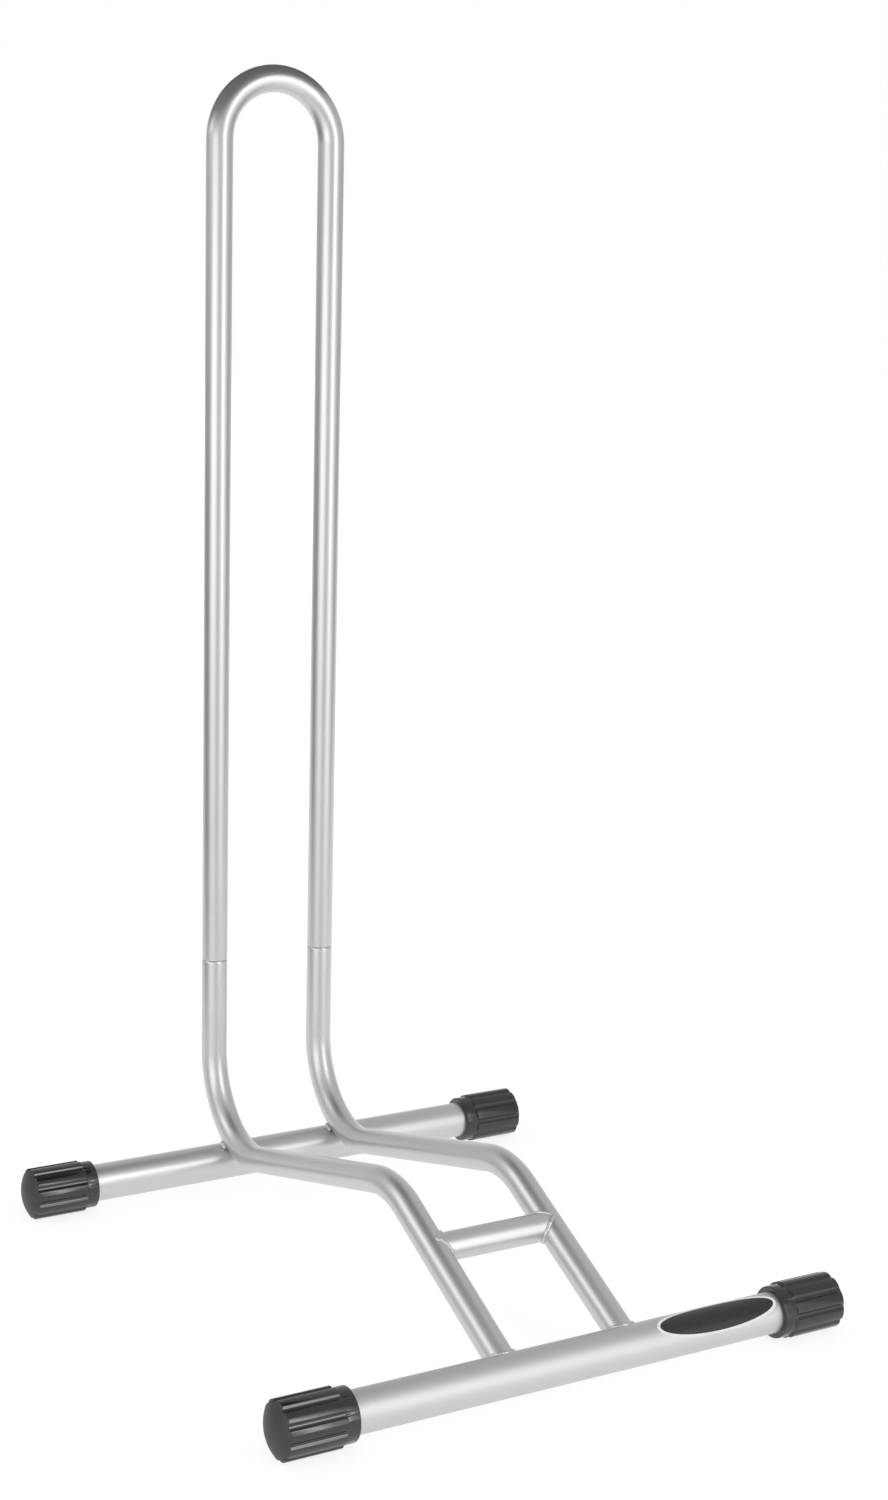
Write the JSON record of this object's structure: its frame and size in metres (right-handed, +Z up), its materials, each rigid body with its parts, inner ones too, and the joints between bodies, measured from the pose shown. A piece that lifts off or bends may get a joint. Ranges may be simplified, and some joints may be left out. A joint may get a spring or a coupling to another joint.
{
  "type": "floor bike stand",
  "caption": "Free-standing floor stand of bent silver tube: a tall lift-off hoop holds a bicycle wheel upright over a low welded frame on ribbed rubber feet.",
  "frame": {"origin": "on the floor, under the middle of the stand's overall box", "axes": "+X along the base tubes to the right, -Y to the front where the wheel rolls in, +Z up along the hoop's legs"},
  "size_m": [0.3454, 0.3856, 0.684],
  "materials": {
    "silver_paint": "satin silver paint over steel tube",
    "black_rubber": "moulded rubber, glossy on the ribs",
    "badge_plate": "glossy black oval with a thin pale rim, no lettering"
  },
  "bodies": {
    "frame": {"left_frame_tube": "silver_paint", "right_frame_tube": "silver_paint", "cross_rung": "silver_paint", "rear_base_tube": "silver_paint", "front_base_tube": "silver_paint", "rear_left_weld": "silver_paint", "rear_right_weld": "silver_paint", "front_left_weld": "silver_paint", "front_right_weld": "silver_paint", "rung_left_weld": "silver_paint", "rung_right_weld": "silver_paint", "rear_left_foot": "black_rubber", "rear_right_foot": "black_rubber", "front_left_foot": "black_rubber", "front_right_foot": "black_rubber", "badge": "badge_plate"},
    "hoop": {"wheel_hoop": "silver_paint"}
  },
  "joints": [
    {"name": "hoop_lift", "type": "slide", "parent": "frame", "child": "hoop", "axis": [0, 0, 1], "range_m": [0, 0.055]}
  ]
}
